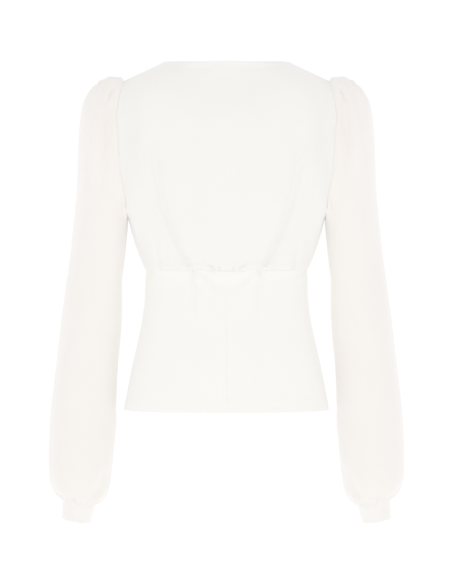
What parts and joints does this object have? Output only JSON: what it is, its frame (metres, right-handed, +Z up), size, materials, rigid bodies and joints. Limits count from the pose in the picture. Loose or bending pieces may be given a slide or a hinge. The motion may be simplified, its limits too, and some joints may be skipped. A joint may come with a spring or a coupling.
{
  "type": "wrap top",
  "caption": "Long-sleeved wrap top with crossed fronts, a gathered waist seam, a fitted flared basque, pleated sleeve heads and full sleeves gathered into plain cuffs, held in its worn shape.",
  "frame": {"origin": "midway between the two shoulder points, where the wearer's shoulders carry the top", "axes": "+Z up towards the neck; +Y towards the front of the wearer, so the back faces -Y; +X towards the wearer's right side"},
  "size_m": [0.562, 0.245, 0.7279],
  "materials": {
    "bodice_cloth": "ivory crepe, matt with a slight sheen",
    "basque_cloth": "ivory crepe, matt, a little firmer",
    "sleeve_cloth": "ivory crepe of one layer, slightly warmer",
    "cuff_cloth": "ivory crepe, folded band"
  },
  "bodies": {
    "root": {"bodice_back": "bodice_cloth", "bodice_front_right": "bodice_cloth", "bodice_front_left": "bodice_cloth", "basque_back_centre_right": "basque_cloth", "basque_back_centre_left": "basque_cloth", "basque_back_side_right": "basque_cloth", "basque_back_side_left": "basque_cloth", "basque_front": "basque_cloth", "sleeve_right": "sleeve_cloth", "sleeve_left": "sleeve_cloth", "cuff_right": "cuff_cloth", "cuff_left": "cuff_cloth"}
  },
  "joints": []
}
